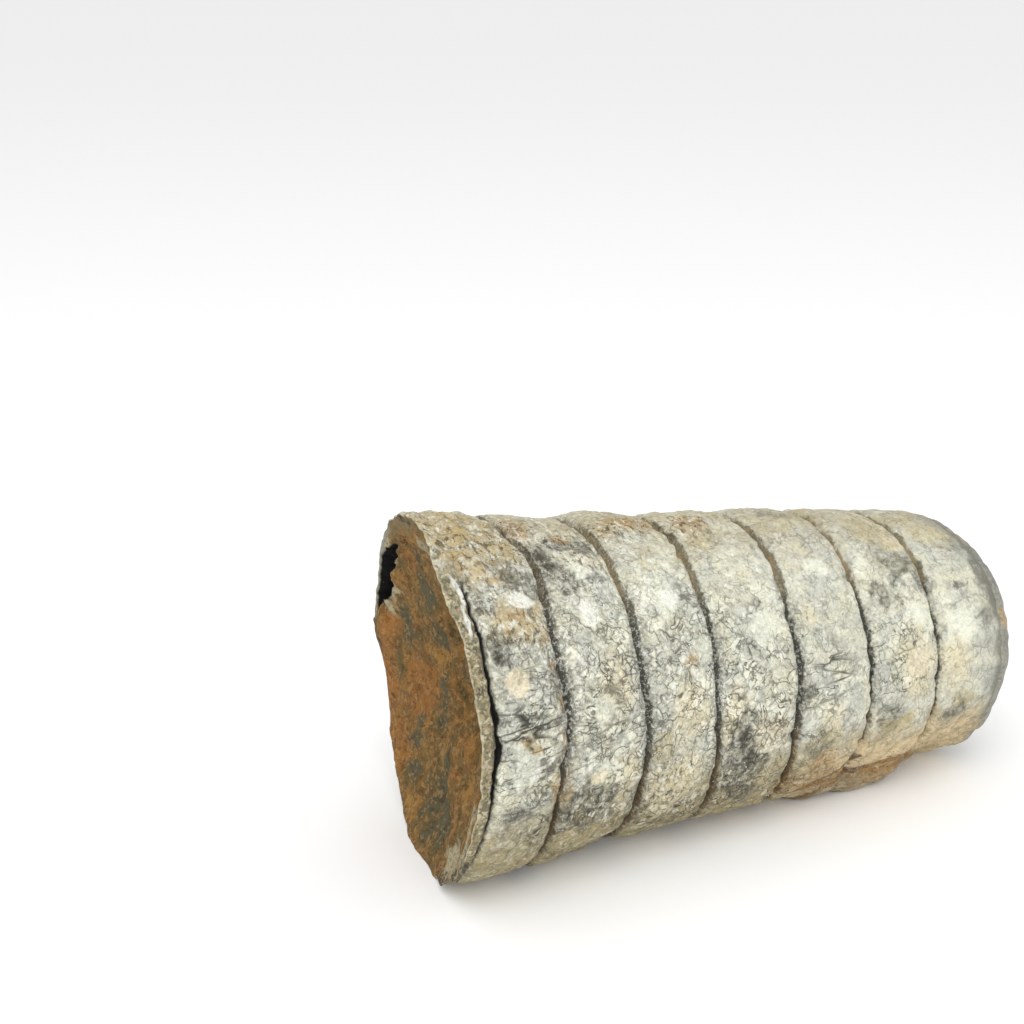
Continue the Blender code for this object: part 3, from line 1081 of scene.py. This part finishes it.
# %% Break finish
RUST_EDGE = (1.1, 0.34)        # how torn and how soft the stains' edges are
rust = Finish("rusty break")
rust.ground(rust.clouds(0.0044, 0.36, 0.64), (150, 113, 63), (124, 104, 65))
ochre = rust.clouds(0.0026, 0.50, 0.62)
streaky = rust.noise(0.0026, 6.0, 0.72, 0.5, point=rust.stretched(1.0, 1.0, 0.5))
small_grain = rust.use(grain_group, Size=0.00050)
large_grain = rust.use(grain_group, Size=0.00100)
pick = small_grain["Pick"]
reach, tongue, roof, pocket = rust.read("reach", "tongue", "roof", "pocket")
wall = fade(reach, 0.955, 0.985) * fade(tongue, 0.15, 0.5)
over_top = fade(reach + streaky * 0.2, 0.97, 1.06) * roof
gravel = fade(rust.noise(0.0006, 3.0, 0.70), 0.40, 0.56)
rust.lay(
    (ochre * 0.7, (178, 134, 74)),
    (fade(streaky, 0.52, 0.62) * 0.7, (96, 92, 64)),
    ((1.0 - fade(streaky, 0.38, 0.46)) * 0.6, (176, 124, 66)),
    (rust.stain("rusty", 0.0018, *RUST_EDGE) * 0.70, (172, 118, 64)),
    (rust.stain("creamy", 0.0014, *RUST_EDGE) * 0.8, (180, 138, 74)),
    (rust.stain("greyed", 0.0018, *RUST_EDGE) * 0.90, (98, 97, 74)),
    (rust.stain("bleached", 0.0026, *RUST_EDGE) * 0.90, (196, 188, 156)),
    (picked(large_grain["Pick"], 0.0, 0.2) * 0.30, (92, 68, 40)),
    (picked(pick, 0.0, 0.15) * 0.35, (78, 58, 34)),
    (picked(pick, 0.84, 1.0) * 0.35, (196, 158, 104)),
    (rust.clouds(0.0022, 0.62, 0.68) * 0.6, (64, 48, 32)),
    (wall * 0.9, (168, 168, 152)),
    (over_top * 0.85, (142, 130, 96)),
    # Dark, gritty patches low on the near side of the hollow.
    (rust.stain("blackened_and_shaded", 0.0007) * (gravel * 0.9), (62, 60, 50)),
    # The pocket is painted near-black: painted shade in the deep hole behind the shell wall.
    (fade(pocket, 0.0, 0.03), (20, 20, 19)),
)
relief_mm = small_grain["Height"] * 0.12 + large_grain["Height"] * 0.22
rust.end(0.88 - pick * 0.12, relief_mm + rust.noise(0.0018, 5.0, 0.72) * 1.6)

# %% [markdown]
# ## The domed end
# The dome is the smooth cast of a chamber wall: dark grey, with paler clouds and a
# few rusty marks near its edge.

# %% Dome finish
dome = Finish("grey chamber wall")
tone = dome.clouds(0.0060, 0.35, 0.65)
wave = (dome.noise(0.003, 5.0, 0.7) - 0.5) * 0.5
veins = dome.use(crack_group, Plate_Size=0.0040, Line_Width=0.00018, Bend=0.0020, Gaps=0.52)
small_grain = dome.use(grain_group, Size=0.00045)
pick = small_grain["Pick"]
dome.ground(tone, (124, 123, 114), (156, 153, 138))
dome.lay(
    (fade(dome.read("reach") + wave, 0.86, 1.06) * 0.6, (150, 148, 135)),
    (dome.stain("rusty", 0.0014) * 0.7, (186, 158, 112)),
    (veins["Line"] * 0.5, (84, 84, 80)),
    (picked(pick, 0.0, 0.18) * 0.35, (88, 86, 80)),
    (picked(pick, 0.85, 1.0) * 0.22, (196, 194, 184)),
)
relief_mm = small_grain["Height"] * 0.05 + dome.noise(0.002, 3.0) * 0.2
dome.end(0.48 + tone * 0.1 + pick * 0.1, relief_mm)

# %% [markdown]
# ## Make the skin
# A Geometry Nodes modifier lives on an object, so an empty mesh carries the tree. Its
# inputs are set by their identifiers, it is evaluated once, and the result is kept as
# a plain mesh that needs no modifier.

# %% Run a tree and keep its mesh
def keep_result(tree, name, start_mesh, **values):
    carrier = in_scene(name, start_mesh)
    modifier = carrier.modifiers.new("maker", "NODES")
    modifier.node_group = tree
    for item in tree.interface.items_tree:
        if item.in_out == "INPUT" and item.name.replace(" ", "_") in values:
            modifier[item.identifier] = values[item.name.replace(" ", "_")]
    graph = bpy.context.evaluated_depsgraph_get()
    mesh = bpy.data.meshes.new_from_object(
        carrier.evaluated_get(graph), preserve_all_data_layers=True, depsgraph=graph
    )
    carrier.modifiers.clear()
    carrier.data = mesh
    mesh.name = name
    if mesh.materials and mesh.materials[0] is None:
        mesh.materials.pop(index=0)
    return carrier


stone = keep_result(
    stone_tree, "stone_skin", bpy.data.meshes.new("start"),
    Ring_Finish=skin.material, Hollow_Finish=rust.material, Dome_Finish=dome.material,
)
mesh = stone.data
print("the skin has", len(mesh.vertices), "points and", [m.name for m in mesh.materials])

# %% [markdown]
# ## Paint the stains
# Soft spots of white, cream, grey, tan and rust are painted on the skin. Each
# spot is a place and its half sizes. Most places are first shaken by the two "wander"
# values that the tree stored, and the finish then tears the edge of every spot with
# noise, so none of them looks round. Spots that have to sit at one place are hardly
# moved. The others are painted a second time on the far side, counted from the other
# end, so that the stone is as rich behind as in front.

# %% Read the skin
def point_values(mesh, name):
    values = np.zeros(len(mesh.vertices), dtype=np.float32)
    mesh.attributes[name].data.foreach_get("value", values)
    return values.astype(float)


def keep_values(mesh, name, values):
    layer = mesh.attributes.new(name, "FLOAT", "POINT")
    layer.data.foreach_set("value", np.asarray(values, dtype=np.float32))


SHAKE = 0.6                   # the share of the wander that moves a spot,
LIGHT_SHAKE = 0.15            # and of one that is hardly moved
END_SHAKE = (0.03, 0.012)
zone = point_values(mesh, "zone")
reach = point_values(mesh, "reach")
along_mm = point_values(mesh, "along") * 1000
turn_deg = np.degrees(point_values(mesh, "turn"))
wander_along = point_values(mesh, "wander_along")
wander_turn = point_values(mesh, "wander_turn")
well_shaken = (along_mm + wander_along * SHAKE, turn_deg + wander_turn * SHAKE)
hardly_shaken = (along_mm + wander_along * LIGHT_SHAKE, turn_deg)
near = reach * np.cos(np.radians(turn_deg)) + wander_along * END_SHAKE[0]
up = reach * np.sin(np.radians(turn_deg)) + wander_turn * END_SHAKE[1]
print("along runs from", round(along_mm.min(), 1), "to", round(along_mm.max(), 1), "mm")

# %% Spots on the rings: along in mm, angle in degrees, and half of each size
RING_SPOTS = {
    "bleached": (
        (21.8, 44.5, 2.2, 9), (22.5, 59, 2.2, 5), (34.5, 46, 2.8, 11), (35, 60, 4, 5),
        (63.5, 54, 3, 4), (20.5, -9, 2.2, 5), (78, 30, 4, 9), (86.5, 24, 4, 12),
        (50, 32, 6, 8), (8, -2, 3.6, 8), (21, 12, 2.5, 8), (38, 26, 3, 7),
    ),
    "creamy": (
        (7.2, 24.5, 3, 6), (25.5, -13, 3, 16), (34, -22, 6, 18), (43.3, 2, 2.4, 18),
        (50, -8, 6, 12), (77, 10, 5, 20), (79, 65, 3, 9), (84.5, 6, 5, 16),
        (58, 35, 1.4, 5), (61.5, -8, 3, 9), (23, 20, 4, 12), (36, 5, 4, 14),
    ),
    "greyed": (
        (18, 63, 3.4, 12), (10, 60, 3, 9), (6, 36, 3.4, 5.5), (25, 72, 4, 7), (13, 56, 3, 5),
        (77, 56, 6, 7), (64, 88, 7, 8), (21, 72, 3, 6), (45.5, -16, 4.2, 16), (90, 62, 4, 8),
        (18.5, -16, 4.5, 9), (20, -22, 7, 12), (45.3, -14, 3.2, 26), (45.3, -2, 2.6, 8),
        (48, -20, 3, 9), (47.5, -36, 3.2, 8), (59.2, -18, 3.4, 14), (56.8, 5, 1.8, 6),
        (72.5, -12, 3.2, 12), (86, -16, 3, 8), (87.5, 40, 2.6, 3.5), (91, 26, 3, 4),
        (93.5, 45, 2.4, 30), (75, 50, 1.6, 24), (80.5, 50, 2.0, 18), (6, 30, 3, 5),
        (14.5, 22, 2.4, 7), (9, 14, 5, 2.2), (15, 50, 2.4, 6), (20, 54, 4, 7),
        (72, 40, 2, 10), (78, 52, 5, 8), (44.6, -12, 3.6, 14), (45.6, -26, 3.4, 12),
        (87, -14, 4, 7), (11, 56, 4, 6), (4.5, 50, 2.2, 8), (6.5, -15, 2.5, 6),
        (76, 54, 5, 9), (60.5, -14, 2.6, 8), (44.5, -18, 3.4, 12), (46.5, -26, 3, 9),
    ),
    "tanned": (
        (8, 80, 10, 26), (5, 64, 5, 10), (11, 72, 6, 14), (87, 68, 5, 12), (77, 74, 6, 18),
        (31.5, -4, 2.8, 8), (60, -14, 5, 6), (74, -16, 5, 6), (88, -10, 5, 6),
        (34, 86, 9, 12), (9, 4, 2, 3), (14.3, -12, 2, 12), (10, 42, 7, 9), (7, 56, 4, 6),
        (34, 60, 2, 6), (46, 70, 3, 8),
    ),
    "rusty": (
        (17.6, 84, 2.8, 12), (14.0, 37, 2.0, 5), (9.8, 43, 1.8, 3), (13.4, 27.5, 1.3, 3.2),
        (14, 16, 1.0, 4.5), (14.3, 4, 1.3, 6), (14, -10, 1.3, 7), (36.5, 86, 6.5, 9),
        (31, 79, 2, 4.5), (46.5, 84, 4.2, 10), (23, 77, 2.2, 5), (36.5, 23.5, 2.2, 4.5),
        (62, -30, 4, 12), (64, -44, 8, 12), (58, -42, 5, 12), (78, -46, 9, 14),
    ),
    "chalky": ((11.3, 48, 3.4, 4.2), (21.3, 43, 2.0, 7), (9.6, -3.5, 1.4, 4), (35, 46, 2.2, 5)),
    "buttery": ((7.4, 23.5, 2.6, 6), (20.3, -10, 2.2, 4), (76.5, 11, 3, 9)),
    "sliver": ((2.7, 53, 0.85, 9), (2.2, 42, 0.6, 8)),
    "pitted": (
        (5, 78, 9, 40), (12, 70, 9, 22), (9, 42, 9, 24), (22, 70, 10, 26), (18, -25, 16, 14),
        (33, 82, 9, 16), (2, 40, 3, 60), (30, -28, 14, 14), (34, -15, 6, 10), (45, 84, 8, 14),
        (45, -22, 6, 16),
    ),
    # Dark patches, and painted shade at the lower ends of the first three grooves, near the
    # floor.
    "blackened_and_shaded": (
        (3.6, -64, 1.9, 12), (2.9, -50, 1.1, 9), (15.6, -62, 2.2, 10), (29.3, -60, 2.2, 9),
        (42.2, -58, 1.6, 8), (18.6, 62, 2.4, 2.2), (17.4, 67, 1.1, 3), (5.2, 33, 1.2, 5),
        (17.0, -66, 2.4, 7), (28.6, -54, 2.2, 6), (3.6, -57, 1.3, 8), (2.6, -38, 0.8, 6),
        (2.8, -45, 0.9, 6), (45.6, -9, 2.1, 9), (47.0, -17, 1.8, 6),
    ),
}
HARDLY_MOVED = ("chalky", "buttery", "sliver", "blackened_and_shaded", "rusty")
print("painting", sum(len(spots) for spots in RING_SPOTS.values()), "spots on the rings")


def painted(places, spots):
    """The strongest spot at each point, 1 in its middle and 0 at its edge."""
    strongest = np.zeros(len(places[0]))
    for first, second, half_first, half_second in spots:
        past_second = (places[1] - second + 180) % 360 - 180
        share = np.hypot((places[0] - first) / half_first, past_second / half_second).clip(0, 1)
        strongest = np.maximum(strongest, (1 - share**2) ** 1.2)
    return strongest


def and_far_side(spots, length=96, highest=55):
    """The spots, and the near ones again on the far side, from the other end."""
    copies = [(length - a, 180 - t, da, dt) for a, t, da, dt in spots if t <= highest]
    return (*spots, *copies)


# %% Seams low on the near side, where the skin meets the ledge
SEAM_HALF_WIDTH = 1.2         # in mm
MM_PER_DEGREE = 0.39
SEAMS = (
    ((60.0, -49), (61.3, -47), (64.5, -44), (67.5, -39), (69.5, -33)),
    ((62.5, -49), (66.0, -44.5), (71.5, -43.5), (74.5, -43), (77.3, -41), (81.8, -42)),
)


def from_path(places, path):
    """The distance in mm from each point to a path over the skin."""
    here = np.stack([places[0], places[1] * MM_PER_DEGREE], axis=1)
    corners = np.array([(a, b * MM_PER_DEGREE) for a, b in path])
    nearest = np.full(len(here), np.inf)
    for start, end in zip(corners, corners[1:]):
        run = end - start
        share = ((here - start) @ run / (run @ run)).clip(0, 1)
        gap = here - start - share[:, None] * run
        nearest = np.minimum(nearest, np.hypot(gap[:, 0], gap[:, 1]))
    return nearest


print(len(SEAMS), "seams bend at", sum(len(path) for path in SEAMS), "places")

# %% Spots on the two ends: towards the near side, upward, and half of each size
BREAK_SPOTS = {
    "greyed": (
        (-0.67, 0.19, 0.13, 0.17), (-0.27, 0.24, 0.12, 0.14), (-0.30, 0.50, 0.18, 0.20),
        (-0.22, -0.12, 0.09, 0.26), (-0.06, -0.44, 0.12, 0.16), (-0.48, -0.64, 0.12, 0.10),
        (-0.20, -0.74, 0.18, 0.10), (0.00, -0.69, 0.20, 0.07), (-0.07, -0.84, 0.12, 0.10),
        (0.10, 0.40, 0.20, 0.40), (-0.28, 0.70, 0.12, 0.12), (-0.10, -0.62, 0.16, 0.20),
        (0.08, -0.78, 0.16, 0.12), (-0.45, -0.40, 0.14, 0.10),
    ),
    "bleached": (
        (-0.76, 0.38, 0.06, 0.15), (-0.85, 0.26, 0.08, 0.07), (-0.72, 0.64, 0.09, 0.12),
        (0.62, -0.62, 0.13, 0.18), (0.44, -0.78, 0.18, 0.13), (0.72, -0.42, 0.09, 0.20),
        (0.72, -0.56, 0.14, 0.20), (0.66, -0.68, 0.16, 0.14), (0.56, -0.78, 0.14, 0.12),
        (-0.06, 0.83, 0.10, 0.07),
    ),
    "blackened_and_shaded": (
        (0.68, -0.68, 0.09, 0.08), (0.59, -0.77, 0.09, 0.08), (0.44, -0.88, 0.12, 0.07),
        (0.76, -0.59, 0.08, 0.09), (0.30, -0.95, 0.12, 0.05), (-0.30, 0.95, 0.26, 0.05),
    ),
    "creamy": (
        (-0.40, -0.83, 0.09, 0.08), (-0.18, -0.63, 0.08, 0.07), (0.29, -0.46, 0.10, 0.14),
        (-0.25, 0.12, 0.10, 0.10),
    ),
    "rusty": (
        (-0.86, 0.10, 0.14, 0.22), (-0.90, -0.25, 0.18, 0.34), (-0.70, -0.55, 0.18, 0.25),
        (0.19, -0.67, 0.10, 0.15), (-0.52, -0.18, 0.24, 0.36), (-0.45, 0.62, 0.20, 0.10),
    ),
}
DOME_SPOTS = {"rusty": ((0.85, 0.38, 0.12, 0.13), (0.30, 0.90, 0.2, 0.1), (0.1, -0.95, 0.4, 0.1))}
print("painting", sum(len(spots) for spots in BREAK_SPOTS.values()), "spots in the hollow")

# %% Paint the spots and the seams
on_rings = (zone >= 0) & (zone <= RINGS)
for name, spots in RING_SPOTS.items():
    if name in HARDLY_MOVED:
        values = painted(hardly_shaken, spots) * on_rings
    else:
        values = painted(well_shaken, and_far_side(spots)) * on_rings
    values += painted((near, up), BREAK_SPOTS.get(name, ())) * (zone < 0)
    values += painted((near, up), DOME_SPOTS.get(name, ())) * (zone > RINGS)
    keep_values(mesh, name, values)
    print(name, "covers", round(100 * (values > 0.3).mean()), "% of the points")
seam_gap = np.min([from_path(hardly_shaken, path) for path in SEAMS], axis=0)
keep_values(mesh, "seam", (1 - seam_gap / SEAM_HALF_WIDTH).clip(0, 1) * on_rings)

# %% Where the rings are cracked, split and gritty
CRACKED_SPOTS = (
    (24, 12, 16, 55), (46, 8, 22, 48), (38, 15, 16, 50), (74, 14, 10, 26), (12, 5, 9, 45),
    (44, -38, 28, 22),
)
SPLIT_SPOTS = ((9, 5, 9, 34), (20, 12, 6, 16), (60, 12, 7, 16))
cracked = painted(well_shaken, and_far_side(CRACKED_SPOTS)).clip(0, 0.9) / 0.9
keep_values(mesh, "cracked", cracked)
keep_values(mesh, "split", painted(well_shaken, and_far_side(SPLIT_SPOTS)))
front_grit = np.interp(along_mm, [0, 25, 45, 95], [1.0, 0.85, 0.65, 0.40])
side_grit = np.interp(turn_deg, [-60, -25, 0, 60, 95], [0.8, 0.9, 1, 1, 1])
keep_values(mesh, "gritty", front_grit * side_grit)
print("cracked over", round(100 * (cracked > 0.3).mean()), "% of the points")

# %% [markdown]
# ## Crystal grains
# Tiny crystals grew along the grooves, most of them near the wide end, and crumbs of
# rust lie in the hollow and on the rusty stains. They are what repeats here, so
# Geometry Nodes scatters them: more points where the painted share is high, a random
# turn and size for each, and one small shape of twenty faces.

# %% Tree for grains
TURN_SEED, SIZE_SEED = 11, 12
FULL_TURN = (6.28, 6.28, 6.28)
GRAIN_INPUTS = (
    ("Geometry", "Geometry", None), ("Place Name", "String", "crystals"),
    ("Grains Per Square Metre", "Float", 0.9e6), ("Smallest", "Float", 0.00005),
    ("Largest", "Float", 0.00012), ("Seed", "Int", 4), ("Finish", "Material", None),
)


def random_vector(tree, low, high, seed):
    node = tree.nodes.new("FunctionNodeRandomValue")
    node.data_type = "FLOAT_VECTOR"
    for name, value in (("Min", low), ("Max", high), ("Seed", seed)):
        plug(tree, value, node.inputs[name])
    return node.outputs["Value"]


grain_tree, given = new_tree("crystal grains", GRAIN_INPUTS)
given = given.outputs
density = named(grain_tree, given["Place Name"]) * given["Grains Per Square Metre"]
points = add_node(
    grain_tree, "GeometryNodeDistributePointsOnFaces", {"distribute_method": "RANDOM"},
    Mesh=given["Geometry"], Density=density, Seed=given["Seed"],
)
crystal = add_node(grain_tree, "GeometryNodeMeshIcoSphere", Radius=1.0, Subdivisions=1)
smallest, largest = [vector(grain_tree, *[given[n]] * 3) for n in ("Smallest", "Largest")]
grains = add_node(
    grain_tree, "GeometryNodeInstanceOnPoints", Points=points.outputs["Points"],
    Instance=crystal.outputs["Mesh"],
    Rotation=random_vector(grain_tree, (0.0, 0.0, 0.0), FULL_TURN, TURN_SEED),
    Scale=random_vector(grain_tree, smallest, largest, SIZE_SEED),
)
real_grains = add_node(grain_tree, "GeometryNodeRealizeInstances", Geometry=grains.outputs[0])
finished = set_finish(grain_tree, real_grains.outputs[0], given["Finish"])
add_node(grain_tree, "NodeGroupOutput", Geometry=finished)
print("the grains' tree has", len(grain_tree.nodes), "nodes")

# %% Grain finishes
white = Finish("white crystals")
shade = white.noise(0.0009, 2.0, 0.6)
white.ground(fade(shade, 0.35, 0.65), (170, 170, 162), (240, 240, 234))
white.end(0.25 + shade * 0.3)
brown = Finish("rust crumbs")
shade = brown.noise(0.0012, 2.0, 0.6)
brown.ground(fade(shade, 0.35, 0.65), (96, 70, 42), (160, 122, 76))
brown.end(0.75 + shade * 0.2)

# %% Scatter the grains
CRYSTAL_SPOTS = ((5.5, 36, 3, 9), (45.3, -22, 3, 12), (18.5, 60, 3, 10))
from_groove_mm = point_values(mesh, "from_groove") * 1000
patchy = np.interp(wander_turn, [-3, 3], [0.0, 1.0])
groove_edge = np.interp(from_groove_mm, [0.2, 0.6, 1.0], [0.2, 1.0, 0.0])
bright_side = np.interp(turn_deg, [-12, 0, 40, 58], [0.1, 1.0, 1.0, 0.1])
front_more = np.interp(along_mm, [15, 45, 75], [1.0, 0.6, 0.15])
crystal_share = groove_edge * bright_side * (0.08 + patchy) * front_more * on_rings
crystal_share += painted(well_shaken, CRYSTAL_SPOTS) * 0.35
keep_values(mesh, "crystals", crystal_share.clip(0, 1))
rust_share = painted(well_shaken, RING_SPOTS["rusty"]) * 0.6 * on_rings
rust_share += (zone < -0.03) * (reach > 0.1) * 0.25 * (point_values(mesh, "pocket") < 0.1)
keep_values(mesh, "crumbs", rust_share.clip(0, 1))
crystals = keep_result(grain_tree, "crystal_grains", mesh.copy(), Finish=white.material)
crumbs = keep_result(
    grain_tree, "rust_crumbs", mesh.copy(), Finish=brown.material, Place_Name="crumbs",
    Smallest=0.00006, Largest=0.00017, Seed=9,
)
for piece in (crystals, crumbs):
    print(piece.name, "has", len(piece.data.polygons) // 20, "grains")

# %% [markdown]
# ## The frame calls
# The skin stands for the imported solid, which stays hidden and keeps its use for
# contact. Everything rides on the one body.

# %% Hand the pieces to the frame
for piece in (stone, crystals, crumbs):
    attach(piece, "root")
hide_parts("fossil_stone")
print("the body carries", stone.name, "and", crystals.name, "and", crumbs.name)
